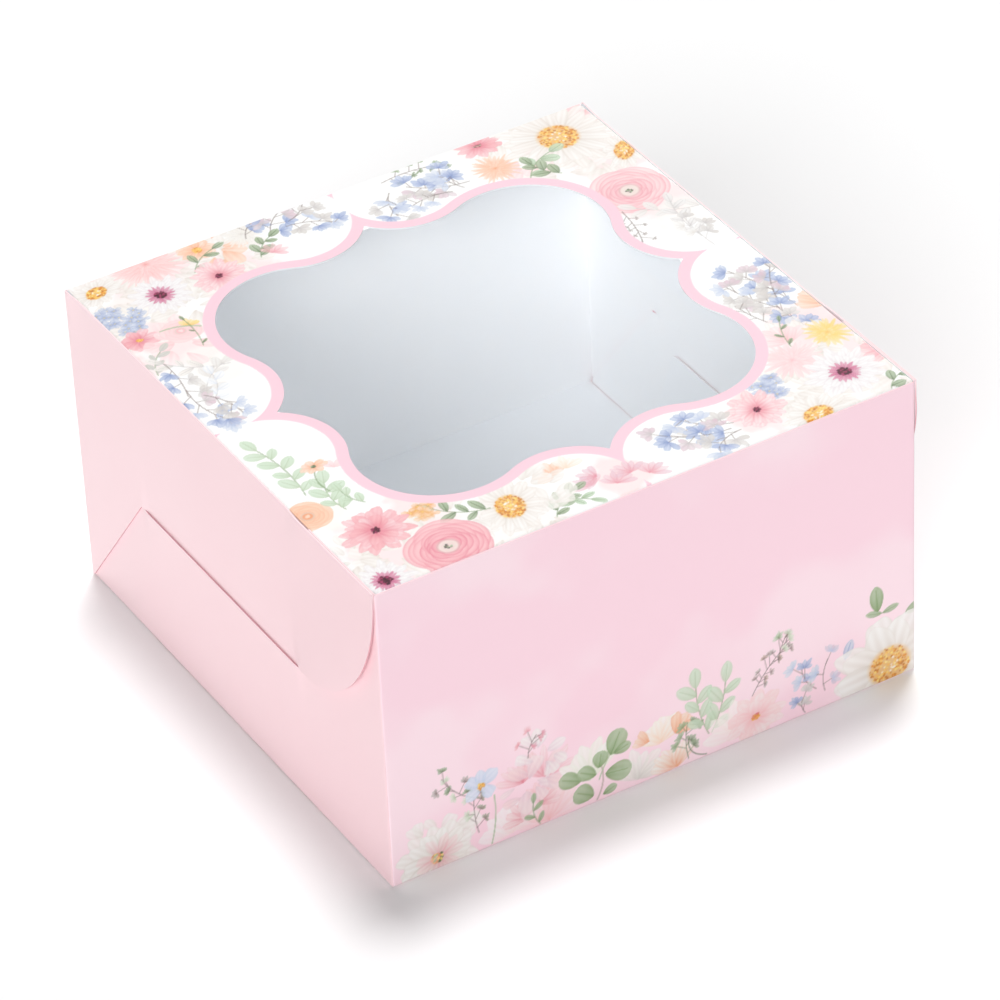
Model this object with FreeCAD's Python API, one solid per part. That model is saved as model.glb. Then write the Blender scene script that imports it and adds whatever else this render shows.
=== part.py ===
import FreeCAD, Part
import math
import os

# A windowed folding carton for flowers: one die-cut blank folded into a box, with a film window in its lid.
# Every panel between two creases is its own solid, because it turns on its crease.
# Millimetres. X runs along the front, Y from front to back, Z up from the table.

# Driving dimensions
WIDTH = 178.0
DEPTH = 178.0
HEIGHT = 103.0
BOARD = 0.45  # paperboard thickness
GAP = 0.1  # air between two boards that slide on each other
FILM = 0.2
GLUE = 0.05

# Hooked sides: the edge that the rear flap and the front flap share
TAIL_RUN = 38.0  # the front flap's tail reaches its full height this far from the back
TAIL_HEIGHT = 48.3
TAIL_TIP = 1.0  # the tail ends this far from the back crease
LOBE_RADIUS = 49.0  # the rear flap's round lower corner
SEAM = 0.25  # between the cut edges of the two flaps
EDGE_CLEARANCE = 0.2  # cut edges stand this far off the table
OVERLAP = 44.0  # the front flap runs back this far under the rear flap
OVERLAP_TAPER = 8.0
OVERLAP_CORNER = 6.0

# Flaps that are out of sight
BASE_FLAP_HEIGHT = 39.0
BASE_FLAP_HALF = 53.0
BASE_FLAP_TAPER = 14.0
BASE_FLAP_CORNER = 4.0
DUST_FLAP_DEPTH = 40.0
DUST_FLAP_START = 9.0  # from the lid's back crease
DUST_FLAP_END = 150.0  # short of the folded tuck
DUST_FLAP_TAPER = 10.0
DUST_FLAP_CORNER = 18.0
TUCK_LENGTH = 24.0
TUCK_LEAN = math.radians(7)  # inwards, so that the tuck swings clear of the front wall
TUCK_HALF = 84.0
TUCK_TAPER = 9.0
TUCK_CORNER = 10.0

# Window in the lid, from the lid's centre: a round lobe at each corner, and in the middle of each side
# a pointed cusp between two arcs that curve the other way. Arcs and lobes run smoothly into each other.
CUSP_ARC_CENTRE = FreeCAD.Vector(81.2, 18.3, 0)
CUSP_ARC_RADIUS = 22.5
LOBE_CENTRE = FreeCAD.Vector(38.3, 38.3, 0)
FILM_MARGIN = 8.0
GLUE_WIDTH = 5.0

PITCH = BOARD + GAP  # from one layer of board to the next
SIDE = WIDTH / 2
BACK = DEPTH / 2
FRONT = -DEPTH / 2
LID_SIDE = SIDE - 2 * PITCH  # the lid lies between the side flaps
LID_FRONT = FRONT + PITCH  # and behind the front wall
CUSP_TIP = CUSP_ARC_CENTRE.x - math.sqrt(CUSP_ARC_RADIUS**2 - CUSP_ARC_CENTRE.y**2)
FOLD_BEAD = 0.7 * BOARD  # how far the rounded crease shows along the board

X = FreeCAD.Vector(1, 0, 0)
Y = FreeCAD.Vector(0, 1, 0)
Z = FreeCAD.Vector(0, 0, 1)


def closed_wire(edges):
    """One wire from edges in any order."""
    return Part.Wire(Part.__sortEdges__(edges))


def rounded(corners):
    """A closed wire in the XY plane through (x, y, radius) corners, each rounded to its radius."""
    points = [FreeCAD.Vector(x, y, 0) for x, y, radius in corners]
    runs, edges = [], []
    for i, (x, y, radius) in enumerate(corners):
        here = points[i]
        before = (points[i - 1] - here).normalize()
        after = (points[(i + 1) % len(points)] - here).normalize()
        half = before.getAngle(after) / 2
        start = here + before * (radius / math.tan(half))
        end = here + after * (radius / math.tan(half))
        if radius:
            towards_centre = (before + after).normalize()
            middle = here + towards_centre * (radius / math.sin(half) - radius)
            edges.append(Part.Arc(start, middle, end).toShape())
        runs.append((start, end))
    for i, (start, end) in enumerate(runs):
        edges.append(Part.makeLine(runs[i - 1][1], start))
    return closed_wire(edges)


def placed(wire, origin, across, along):
    """The wire with its X laid along across and its Y along along, starting from origin."""
    normal = across.cross(along)
    matrix = FreeCAD.Matrix(
        across.x, along.x, normal.x, origin.x,
        across.y, along.y, normal.y, origin.y,
        across.z, along.z, normal.z, origin.z,
        0, 0, 0, 1,
    )
    moved = wire.copy()
    moved.Placement = FreeCAD.Placement(matrix)
    return moved


def fold_bead(length, fold, across, along, thick):
    """The rounded crease of a panel: a quarter rod of one board's radius, centred on the fold line."""
    rise = math.asin(FOLD_BEAD / BOARD)
    first = fold + thick * BOARD
    middle = fold + (thick * math.cos(rise / 2) + along * math.sin(rise / 2)) * BOARD
    last = fold + (thick * math.cos(rise) + along * math.sin(rise)) * BOARD
    top = fold + along * FOLD_BEAD
    section = closed_wire([
        Part.makeLine(fold, first),
        Part.Arc(first, middle, last).toShape(),
        Part.makeLine(last, top),
        Part.makeLine(top, fold),
    ])
    return Part.Face(section).extrude(across * length)


def panel(corners, fold, across, along, thick):
    """A panel that turns on the line through fold. Corners are (along the fold, away from it, radius)."""
    raised = [(x, max(y, FOLD_BEAD), radius) for x, y, radius in corners]
    sheet = Part.Face(placed(rounded(raised), fold, across, along)).extrude(thick * BOARD)
    ends = [x for x, y, radius in corners if y == 0]
    low, high = min(ends), max(ends)
    bead = fold_bead(high - low, fold + across * low, across, along, thick)
    return sheet.fuse(bead).removeSplitter()


def slab(half_x, low_y, high_y, low_z, thickness):
    """A flat plate centred on the YZ plane."""
    return Part.makeBox(
        2 * half_x, high_y - low_y, thickness, FreeCAD.Vector(-half_x, low_y, low_z)
    )


def bottom_panel():
    """Lies on the table inside the four bottom creases."""
    return slab(LID_SIDE - PITCH, FRONT + PITCH, BACK - PITCH, 0, BOARD)


def back_wall():
    """Stands on the back crease and carries the lid and the rear side flaps."""
    half, top = SIDE - PITCH, HEIGHT - PITCH
    corners = [(-half, 0, 0), (half, 0, 0), (half, top, 0), (-half, top, 0)]
    return panel(corners, FreeCAD.Vector(0, BACK, 0), X, Z, -Y)


def front_wall():
    """Stands on the front crease. The lid's front edge shows just above and behind its cut top edge."""
    half, top = LID_SIDE, HEIGHT - BOARD
    corners = [(-half, 0, 0), (half, 0, 0), (half, top, 0), (-half, top, 0)]
    return panel(corners, FreeCAD.Vector(0, FRONT, 0), X, Z, Y)


def rear_flap():
    """Right side, outermost: the whole upper side of the box, with a round lobe at its front corner."""
    corners = [
        (EDGE_CLEARANCE, 0, 0),
        (TAIL_HEIGHT, TAIL_RUN, 0),
        (TAIL_HEIGHT, DEPTH - SEAM, LOBE_RADIUS),
        (HEIGHT, DEPTH - SEAM, 0),
        (HEIGHT, 0, 0),
    ]
    return panel(corners, FreeCAD.Vector(SIDE, BACK, 0), Z, -Y, -X)


def front_flap():
    """Right side, one layer in: full height under the rear flap's lobe, with a long low tail to the back."""
    slope = (TAIL_HEIGHT - EDGE_CLEARANCE) / TAIL_RUN
    corners = [
        (EDGE_CLEARANCE, 0, 0),
        (EDGE_CLEARANCE, DEPTH - TAIL_TIP, 0),
        (EDGE_CLEARANCE + slope * (TAIL_TIP - SEAM), DEPTH - TAIL_TIP, 0),
        (TAIL_HEIGHT - SEAM, DEPTH - TAIL_RUN, 0),
        (TAIL_HEIGHT - SEAM, OVERLAP, OVERLAP_CORNER),
        (HEIGHT, OVERLAP - OVERLAP_TAPER, OVERLAP_CORNER),
        (HEIGHT, 0, 0),
    ]
    return panel(corners, FreeCAD.Vector(SIDE - PITCH, FRONT, 0), Z, Y, -X)


def base_flap():
    """Right side, inside the other two: a low flap on the bottom panel's side crease."""
    short = BASE_FLAP_HALF - BASE_FLAP_TAPER
    corners = [
        (-BASE_FLAP_HALF, 0, 0),
        (BASE_FLAP_HALF, 0, 0),
        (short, BASE_FLAP_HEIGHT, BASE_FLAP_CORNER),
        (-short, BASE_FLAP_HEIGHT, BASE_FLAP_CORNER),
    ]
    return panel(corners, FreeCAD.Vector(LID_SIDE, 0, 0), Y, Z, -X)


def dust_flap():
    """Right side: hangs from the lid's side crease, inside the side flaps."""
    corners = [
        (DUST_FLAP_START, 0, 0),
        (DUST_FLAP_END, 0, 0),
        (DUST_FLAP_END - DUST_FLAP_TAPER, DUST_FLAP_DEPTH, DUST_FLAP_CORNER),
        (DUST_FLAP_START + DUST_FLAP_TAPER, DUST_FLAP_DEPTH, DUST_FLAP_CORNER),
    ]
    fold = FreeCAD.Vector(LID_SIDE - BOARD, BACK, HEIGHT - PITCH)
    return panel(corners, fold, -Y, -Z, X)


def tuck_flap():
    """Hangs from the lid's front crease, behind the front wall."""
    short = TUCK_HALF - TUCK_TAPER
    corners = [
        (-TUCK_HALF, 0, 0),
        (TUCK_HALF, 0, 0),
        (short, TUCK_LENGTH, TUCK_CORNER),
        (-short, TUCK_LENGTH, TUCK_CORNER),
    ]
    fold = FreeCAD.Vector(0, LID_FRONT + BOARD, HEIGHT - PITCH)
    down = Y * math.sin(TUCK_LEAN) - Z * math.cos(TUCK_LEAN)
    outward = -Y * math.cos(TUCK_LEAN) - Z * math.sin(TUCK_LEAN)
    return panel(corners, fold, X, down, outward)


def window_wire():
    """The window's cut edge: a cusp arc, a lobe and the mirrored cusp arc, once for each quarter turn."""
    to_lobe = LOBE_CENTRE - CUSP_ARC_CENTRE
    lobe_radius = to_lobe.Length - CUSP_ARC_RADIUS
    join = CUSP_ARC_CENTRE + to_lobe.normalize() * CUSP_ARC_RADIUS
    cusp = FreeCAD.Vector(CUSP_TIP, 0, 0)
    halfway = (cusp + join) / 2 - CUSP_ARC_CENTRE
    bulge = CUSP_ARC_CENTRE + halfway.normalize() * CUSP_ARC_RADIUS
    corner = LOBE_CENTRE + (X + Y).normalize() * lobe_radius
    edges = []
    for quarter in range(4):
        turn = FreeCAD.Rotation(Z, 90 * quarter).multVec

        def flipped(point):
            return FreeCAD.Vector(point.y, point.x, 0)

        edges.append(Part.Arc(turn(cusp), turn(bulge), turn(join)).toShape())
        edges.append(Part.Arc(turn(join), turn(corner), turn(flipped(join))).toShape())
        edges.append(Part.Arc(turn(flipped(join)), turn(flipped(bulge)), turn(flipped(cusp))).toShape())
    return closed_wire(edges)


def lid_panel():
    """Turns on the back wall's top crease. The window is cut through it."""
    length = BACK - LID_FRONT
    corners = [(-LID_SIDE, 0, 0), (LID_SIDE, 0, 0), (LID_SIDE, length, 0), (-LID_SIDE, length, 0)]
    sheet = panel(corners, FreeCAD.Vector(0, BACK, HEIGHT), X, -Y, -Z)
    cutter = Part.Face(window_wire()).extrude(Z * 2 * BOARD)
    cutter.translate(Z * (HEIGHT - 2 * BOARD))
    return sheet.cut(cutter)


FILM_HALF = CUSP_TIP + FILM_MARGIN
LID_UNDERSIDE = HEIGHT - BOARD


def window_film():
    """The clear sheet stuck to the lid's underside."""
    return slab(FILM_HALF, -FILM_HALF, FILM_HALF, LID_UNDERSIDE - GLUE - FILM, FILM)


def film_glue():
    """The glue line between the film's rim and the lid."""
    inner = FILM_HALF - GLUE_WIDTH
    ring = slab(FILM_HALF, -FILM_HALF, FILM_HALF, LID_UNDERSIDE - GLUE, GLUE)
    return ring.cut(slab(inner, -inner, inner, LID_UNDERSIDE - GLUE, GLUE))


def save(node, shape):
    shape.exportStep(f"parts/{node}.step")


os.makedirs("parts", exist_ok=True)
for make in (bottom_panel, back_wall, front_wall, lid_panel, tuck_flap, window_film, film_glue):
    save(make.__name__, make())
for make in (rear_flap, front_flap, base_flap, dust_flap):
    right = make()
    save(f"{make.__name__}_right", right)
    save(f"{make.__name__}_left", right.mirror(FreeCAD.Vector(0, 0, 0), X))
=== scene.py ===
"""The looks of a windowed folding carton: bent printed board, a clear film and flowers in watercolour."""

import math

import bpy
import numpy as np
from mathutils import Matrix, Vector


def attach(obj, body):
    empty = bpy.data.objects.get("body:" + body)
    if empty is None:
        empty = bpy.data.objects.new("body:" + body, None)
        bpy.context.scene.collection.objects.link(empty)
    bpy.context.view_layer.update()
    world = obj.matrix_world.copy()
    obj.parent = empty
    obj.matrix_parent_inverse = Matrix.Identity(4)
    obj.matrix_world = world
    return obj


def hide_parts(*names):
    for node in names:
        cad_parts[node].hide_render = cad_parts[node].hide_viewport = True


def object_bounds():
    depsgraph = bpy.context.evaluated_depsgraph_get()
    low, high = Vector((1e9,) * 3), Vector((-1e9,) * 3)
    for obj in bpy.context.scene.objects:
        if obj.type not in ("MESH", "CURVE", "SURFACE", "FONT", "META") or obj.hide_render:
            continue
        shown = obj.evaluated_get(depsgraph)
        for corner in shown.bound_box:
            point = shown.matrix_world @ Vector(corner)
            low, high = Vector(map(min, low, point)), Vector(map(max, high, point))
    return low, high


MM = 0.001
TURN = 6.3  # about one full turn, in radians

# Share of the light that white sends back
BOARD_WHITE = 0.94  # on the printed side and the glue
INSIDE_WHITENESS = 0.97  # on the unprinted side and the film: more than real board, for a pale inside
FLOOR_WHITENESS = 0.91

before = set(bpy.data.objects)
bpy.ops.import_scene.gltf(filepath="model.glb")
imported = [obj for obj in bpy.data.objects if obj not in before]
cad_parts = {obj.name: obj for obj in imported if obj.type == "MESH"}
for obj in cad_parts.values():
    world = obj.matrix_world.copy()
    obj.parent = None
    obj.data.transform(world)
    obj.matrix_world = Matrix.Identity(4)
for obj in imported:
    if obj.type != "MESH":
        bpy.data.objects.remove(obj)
cad_low, cad_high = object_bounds()

# The carton, in millimetres, from the CAD frame
WIDTH, DEPTH, HEIGHT = ((cad_high - cad_low) / MM)[:]
BOARD = 0.45  # its thickness
PITCH = 0.55  # from one layer of board to the next
SIDE = WIDTH / 2
BACK = DEPTH / 2
FRONT = -BACK
LID_SIDE = SIDE - 2 * PITCH
LID_FRONT = FRONT + PITCH
CREASE = 0.7  # radius of a folded edge
MITRE_GAP = 0.02  # keeps the two panels of an edge from touching
TAIL_RUN = 38.0  # the front flap's tail rises from the back crease along this run
TAIL_HEIGHT = 48.3
LOBE_RADIUS = 49.0  # the rear flap's round corner
SEAM = 0.25  # between cut edges that meet
OVERLAP = 44.0  # the rear flap's lobe covers the front flap this far back from the front crease
FLAP_FOOT = 0.2  # the side flaps start this far above the table
FLOWER_TOP = 36  # nothing is painted on the front wall above this height
BORDER = 3.6  # width of the pink band round the window
FINE = 0.3  # mesh spacing where flowers are painted
COARSE = 1.5

# The window's edge from the lid's middle, where x > y > 0: a hollow arc meets a round lobe
WINDOW_CUSP_CENTRE = np.array([81.2, 18.3])
WINDOW_CUSP_RADIUS = 22.5
WINDOW_LOBE_CENTRE = np.array([38.3, 38.3])

random = np.random.default_rng(7)  # for every stroke, drawn in a fixed order
vary = random.uniform


# ---- small helpers


def smooth(x):
    """0 below 0, 1 above 1, and a smooth step between."""
    x = np.clip(x, 0, 1)
    return x * x * (3 - 2 * x)


def rgb(r, g, b):
    """A colour given as 0-255 values on screen."""
    return np.array([r, g, b]) / 255.0


def linear(colour):
    """Screen values 0-1 turned into light."""
    colour = np.asarray(colour, float)
    return np.where(colour <= 0.04045, colour / 12.92, ((colour + 0.055) / 1.055) ** 2.4)


def steps(low, high, size):
    """Evenly spaced values from low to high, about size apart."""
    return np.linspace(low, high, max(2, round((high - low) / size) + 1))


def cloud(x, y, size, seed):
    """Smooth random values from 0 to 1 whose blotches are about size across."""
    cells, shift = 64, 200  # cells along each side before the pattern repeats, and where in it this starts
    grid = np.random.default_rng(seed).random((cells, cells))
    u, v = x / size + shift, y / size + shift
    i, j = np.floor(u).astype(int), np.floor(v).astype(int)
    s, t = smooth(u - i), smooth(v - j)
    i, next_i = i % cells, (i + 1) % cells
    j, next_j = j % cells, (j + 1) % cells
    low = grid[i, j] * (1 - s) + grid[next_i, j] * s
    high = grid[i, next_j] * (1 - s) + grid[next_i, next_j] * s
    return low * (1 - t) + high * t


def blotches(x, y, size, seed):
    """Three clouds together, each half as large and half as strong as the one before."""
    shares = [1.0, 0.5, 0.25]
    return sum(cloud(x, y, size * share, seed + k) * share for k, share in enumerate(shares)) / sum(shares)


# ---- watercolour


class Paper:
    """A printed face: its colour at every mesh point, on a grid in millimetres."""

    def __init__(self, xs, ys, ground):
        self.xs = xs
        self.ys = ys
        self.x, self.y = np.meshgrid(xs, ys)
        self.colour = np.empty(self.x.shape + (3,))
        self.colour[:] = ground
        self.grain = 0.86 + 0.14 * blotches(self.x, self.y, 1.6, 40)  # share of the paint taken

    def around(self, x, y, reach):
        """The rows and columns within reach of a point."""
        rows = slice(*np.searchsorted(self.ys, (y - reach, y + reach)))
        columns = slice(*np.searchsorted(self.xs, (x - reach, x + reach)))
        return rows, columns


class Brush:
    """The part of the paper that one flower covers, in its own plane. tilt squashes it, lean turns that."""

    def __init__(self, paper, x, y, reach, tilt=1.0, lean=0.0):
        self.patch = paper.around(x, y, reach)
        dx, dy = paper.x[self.patch] - x, paper.y[self.patch] - y
        c, s = math.cos(lean), math.sin(lean)
        across, along = dx * c + dy * s, (dy * c - dx * s) / tilt
        self.p, self.q = across * c - along * s, across * s + along * c
        self.target = paper.colour[self.patch]
        self.grain = paper.grain[self.patch]

    def lay(self, alpha, colour):
        """Paint over, a little thinner where the paper's grain stands up."""
        alpha = (alpha * self.grain)[..., None]
        self.target *= 1 - alpha
        self.target += alpha * colour

    def petal(
        self, angle, length, width, pale, deep,
        point=0.0, rim=0.35, core=0.6, veins=0.28, alpha=0.92, soft=0.3, notch=0.04, wash=0.55,
    ):
        """One stroke from the flower's centre outwards.

        point is 0 for a round tip, 1 for a sharp one. rim, core and veins darken its edge, foot and streaks.
        alpha is how well it covers, soft how wide its blurred edge is, notch how wavy its ends are, and wash
        how far it may fade to white, at random.
        """
        pale = pale + (WHITE - pale) * vary(0, wash)
        c, s = math.cos(angle), math.sin(angle)
        b = self.q * c - self.p * s
        a = (self.p * c + self.q * s) / length
        phase = random.random() * TURN
        a = a + notch * np.cos(b * 9 / width + phase)
        t = np.clip(a, 0, 1)
        half = width * 0.68 * t**0.6 * (1 - t ** (3 - 2 * point)) ** (0.5 + 0.35 * point)
        inside = half - np.abs(b)
        alpha = alpha * smooth(inside / soft) * (a > 0)
        streak = 0.5 + 0.5 * np.cos(b * 22 / width + 3 * t + phase)
        tone = core * (1 - t) ** 1.6 + rim * np.exp(-inside / 0.4)
        tone = tone + veins * streak * (1 - 0.6 * t)
        tone = np.clip(tone, 0, 1)[..., None]
        self.lay(alpha, pale * (1 - tone) + deep * tone)

    def disc(self, x, y, radius, colour, alpha=0.9, soft=0.3):
        """A round dab."""
        away = np.hypot(self.p - x, self.q - y)
        self.lay(alpha * smooth((radius - away) / soft + 0.5), colour)

    def ring(self, radius, width, colour, alpha):
        """A soft ring round the flower's centre."""
        away = np.abs(np.hypot(self.p, self.q) - radius)
        self.lay(alpha * np.exp(-((away / width) ** 2)), colour)

    def speckle(self, radius, count, size, colours, hollow=0.0):
        """Small dots scattered over a disc, or over a ring if it is hollow."""
        for n in range(count):
            r = radius * math.sqrt(hollow**2 + (1 - hollow**2) * random.random())
            turn = random.random() * 2 * math.pi
            dot = size * vary(0.6, 1.2)
            self.disc(r * math.cos(turn), r * math.sin(turn), dot, colours[n % len(colours)], 0.85)


WHITE = rgb(250, 250, 249)
CREAM = rgb(251, 247, 240)
GREY = rgb(218, 212, 206)
PETAL = rgb(249, 245, 241)
SHADE = rgb(216, 204, 194)
BLUSH = rgb(251, 222, 222)
PINK = rgb(245, 186, 190)
ROSE = rgb(224, 122, 138)
MAGENTA = rgb(168, 58, 100)
MAROON = rgb(92, 28, 48)
PEACH = rgb(250, 214, 190)
APRICOT = rgb(238, 160, 120)
ORANGE = rgb(226, 144, 52)
GOLD = rgb(244, 190, 96)
YELLOW = rgb(250, 222, 130)
BLUE = rgb(184, 197, 224)
INDIGO = rgb(122, 141, 192)
MIST = rgb(214, 220, 232)
SAGE = rgb(176, 194, 160)
GREEN = rgb(122, 148, 104)
MOSS = rgb(86, 106, 74)
MINT = rgb(208, 228, 204)
BARK = rgb(110, 92, 88)
MAUVE = rgb(222, 190, 204)
SMOKE = rgb(196, 191, 190)
PEARL = rgb(240, 238, 236)
DUSK = rgb(205, 186, 192)
ORCHID = rgb(226, 150, 176)
LEAF_VEIN = rgb(108, 140, 84)
WALL_PINK = rgb(254, 219, 230)
WALL_LIGHT = rgb(255, 228, 236)
SIDE_PINK = rgb(254, 221, 226)
# paler pink that pink_wash blends in towards the back as painted light
SIDE_PINK_LIT = rgb(255, 227, 231)
BORDER_PINK = rgb(248, 208, 220)
# deeper pink on the side flaps' cut edges: painted shade along the lines where the flaps meet
EDGE_SHADE_PINK = rgb(236, 182, 192)
INSIDE_WHITE = rgb(251, 253, 255)


def spin(count, jitter):
    """Angles all the way round, each a little off its place."""
    start = random.random() * TURN
    return [start + 2 * math.pi * (k + jitter * vary(-1, 1)) / count for k in range(count)]


def scatter(x, y, size, spread=1.0):
    """A random direction, and a random place that way within size times spread of a point."""
    away = size * math.sqrt(random.random()) * spread
    turn = random.random() * TURN
    return turn, (x + away * math.cos(turn), y + away * math.sin(turn))


def wash(paper, x, y, size, colour, alpha):
    """A soft-edged pool of thin paint."""
    brush = Brush(paper, x, y, size * 1.2)
    away = np.hypot(brush.p, brush.q) / size
    spread = blotches(paper.x[brush.patch], paper.y[brush.patch], 7, 60) - 0.5
    brush.lay(alpha * smooth((1 - away + 1.2 * spread) * 2.2), colour)


def daisy(paper, x, y, size, pale, deep, heart, petals=13, rings=2, eye=0.2, glow=0.0, tilt=1.0, lean=0.0):
    """An open flower seen from above: rings of petals round a speckled heart."""
    brush = Brush(paper, x, y, size * 1.1, tilt, lean)
    for ring in range(rings):
        reach = size * (1 - 0.16 * ring)
        for angle in spin(petals, 0.22):
            length = reach * vary(0.88, 1.04)
            brush.petal(angle, length, size * 5.2 / petals, pale, deep, point=0.15)
    if glow:
        brush.ring(size * eye, size * 0.22, deep, glow)
    brush.disc(0, 0, size * eye * 0.85, heart[0], 0.8, size * eye * 0.5)
    brush.speckle(size * eye, 40, max(0.28, size * 0.03), heart)


def golden_daisy(paper, x, y, size, eye, petals=15, tilt=1.0, lean=0.0):
    """A large white daisy with a ring of golden stamens."""
    brush = Brush(paper, x, y, size * 1.1, tilt, lean)
    for ring in range(2):
        for angle in spin(petals, 0.18):
            reach = size * (1 - 0.14 * ring) * vary(0.9, 1.03)
            brush.petal(angle, reach, size * 5.2 / petals, PETAL, SHADE, point=0.1, veins=0.4, rim=0.5)
    brush.disc(0, 0, eye, rgb(236, 184, 118), 0.9, eye * 0.4)
    brush.speckle(eye, 220, 0.42, [GOLD, ORANGE, YELLOW, rgb(200, 122, 52)], 0.4)
    brush.speckle(eye * 0.45, 40, 0.4, [YELLOW, CREAM, GOLD])


def chrysanthemum(paper, x, y, size, pale, deep, petals=20, rings=6):
    """Many narrow petals, shorter towards the middle."""
    brush = Brush(paper, x, y, size * 1.1)
    for ring in range(rings):
        reach = size * (1 - ring / (rings + 0.6))
        for angle in spin(petals - 2 * ring, 0.3):
            brush.petal(
                angle, reach * vary(0.85, 1.05), size * 4.4 / petals, pale, deep,
                point=0.35, rim=0.45, core=0.45, alpha=0.75, soft=0.4,
            )


def ranunculus(paper, x, y, size, pale, deep, heart, rings=8, lean=0.0):
    """Round petals wrapped over each other, smaller and smaller towards a button heart."""
    brush = Brush(paper, x, y, size * 1.25, 0.93, lean)
    for ring in range(rings):
        reach = size * (1 - 0.83 * ring / (rings - 1))
        for angle in spin(5, 0.3):
            wide = reach * 0.72
            ox, oy = (reach - wide) * math.cos(angle), (reach - wide) * math.sin(angle)
            away = np.hypot(brush.p - ox, brush.q - oy)
            inside = wide - away
            rim, middle = np.exp(-inside / (0.05 * size)), smooth(1 - away / wide)
            tone = 0.8 * rim + 0.28 * middle + 0.16 * ring / rings
            tone = np.clip(tone * vary(0.6, 1.1), 0, 1)[..., None]
            brush.lay(0.9 * smooth(inside / 0.35), pale * (1 - tone) + deep * tone)
    brush.disc(0, 0, size * 0.22, heart[0], 0.85, 0.8)
    brush.speckle(size * 0.08, 14, 0.4, heart[1:])
    brush.ring(size * 0.24, 0.3, SHADE, 0.5)


def petals(paper, x, y, size, pale, deep, count=16):
    """A loose heap of soft overlapping petals."""
    for _ in range(count):
        turn, at = scatter(x, y, size, 0.8)
        length = vary(5, 9)
        Brush(paper, *at, length * 1.15).petal(
            turn + vary(-0.9, 0.9), length, length * vary(0.6, 0.9), pale, deep,
            core=0.35, rim=0.4, veins=0.3, alpha=0.8, soft=0.5,
        )


def hydrangea(paper, x, y, size, pale, deep, florets=34):
    """A round head of small four-petalled florets."""
    for _ in range(florets):
        _, at = scatter(x, y, size)
        brush = Brush(paper, *at, 4.0, vary(0.6, 1))
        for angle in spin(4, 0.15):
            brush.petal(angle, vary(2.2, 3.0), 2.6, pale, deep, rim=0.4, alpha=0.75)
        brush.disc(0, 0, 0.35, YELLOW, 0.7)


def leaf(paper, x, y, angle, length, width, pale, deep, **look):
    """A leaf with a darker midrib, from its stalk end."""
    brush = Brush(paper, x, y, length * 1.1)
    shape = dict(point=0.5, rim=0.45, core=0.35, veins=0.2, alpha=0.9, notch=0.0, wash=0.15)
    shape.update(look)
    brush.petal(math.radians(angle), length, width * 1.35, pale, deep, **shape)
    c, s = math.cos(math.radians(angle)), math.sin(math.radians(angle))
    a, b = brush.p * c + brush.q * s, np.abs(brush.q * c - brush.p * s)
    rib = smooth((0.26 - b) / 0.2) * (a > 0) * (a < length * 0.85)
    brush.lay(0.5 * rib, deep)


def bend(start, end, bow, count=14):
    """Points along a bowed line."""
    start, end = np.array(start, float), np.array(end, float)
    sideways = np.array([start[1] - end[1], end[0] - start[0]])
    t = np.linspace(0, 1, count)[:, None]
    return start + (end - start) * t + sideways * bow * 4 * t * (1 - t)


def stalk(paper, points, width, colour, alpha=0.8):
    """A thin painted line through the points."""
    middle, reach = points.mean(0), np.ptp(points, 0).max() * 0.6 + 2
    brush = Brush(paper, *middle, reach)
    nearest = np.full(brush.p.shape, 99.0)
    for first, last in zip(points[:-1] - middle, points[1:] - middle):
        run = last - first
        p, q = brush.p - first[0], brush.q - first[1]
        t = np.clip((p * run[0] + q * run[1]) / (run @ run), 0, 1)
        nearest = np.minimum(nearest, np.hypot(p - t * run[0], q - t * run[1]))
    brush.lay(alpha * smooth((width / 2 - nearest) / 0.22 + 0.5), colour)


def sprig(paper, start, end, bow, colours, blossoms=6, size=3.6, stem=BARK):
    """A thin stem with small fan-shaped blossoms on alternate sides, in mixed colours."""
    points = bend(start, end, bow)
    stalk(paper, points, 0.35, stem, 0.55)
    for k in range(blossoms):
        at = points[2 + int((len(points) - 3) * (k + 0.5) / blossoms)]
        side = 1 if k % 2 else -1
        run = points[-1] - points[0]
        turn = math.atan2(run[1], run[0]) + side * vary(0.3, 1.3)
        spot = at + np.array([math.cos(turn), math.sin(turn)]) * vary(1.5, 4.5)
        stalk(paper, np.array([at, spot]), 0.3, stem, 0.5)
        pale, deep = colours[k % len(colours)]
        brush = Brush(paper, *spot, size * 1.5)
        for n in range(5):
            brush.petal(
                turn + (n - 2) * vary(0.5, 0.8), size * vary(0.8, 1.2), size * 0.72,
                pale, deep, point=0.25, rim=0.45, core=0.55, alpha=0.85,
            )


def branch(paper, start, end, bow, leaves, length, width, pale, deep, stem=GREEN):
    """A stem with pairs of leaves."""
    points = bend(start, end, bow)
    stalk(paper, points, 0.4, stem, 0.6)
    for k in range(leaves):
        i = 1 + int((len(points) - 2) * k / leaves)
        run = points[i + 1] - points[i]
        turn = math.degrees(math.atan2(run[1], run[0])) + (48 if k % 2 else -48) * vary(0.7, 1.2)
        scale = vary(0.75, 1.1)
        leaf(paper, *points[i], turn, length * scale, width * scale, pale, deep)
    run = points[-1] - points[-2]
    leaf(paper, *points[-1], math.degrees(math.atan2(run[1], run[0])), length, width, pale, deep)


def fan(paper, x, y, angle, spread, count, length, width, pale, deep, **look):
    """Petals fanned from one point, as on a flower seen from the side."""
    brush = Brush(paper, x, y, length * 1.15)
    order = np.argsort(random.random(count))
    for share in np.linspace(-0.5, 0.5, count)[order]:
        turn = math.radians(angle + spread * share) + vary(-0.08, 0.08)
        brush.petal(turn, length * vary(0.85, 1.05), width, pale, deep, **look)
    return brush


DARK_HEART = [MAROON, MAGENTA, rgb(60, 20, 34)]
BUTTON_HEART = [rgb(238, 232, 222), rgb(70, 66, 62), SAGE, rgb(120, 108, 96)]
GOLD_HEART = [GOLD, ORANGE, YELLOW]

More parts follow.
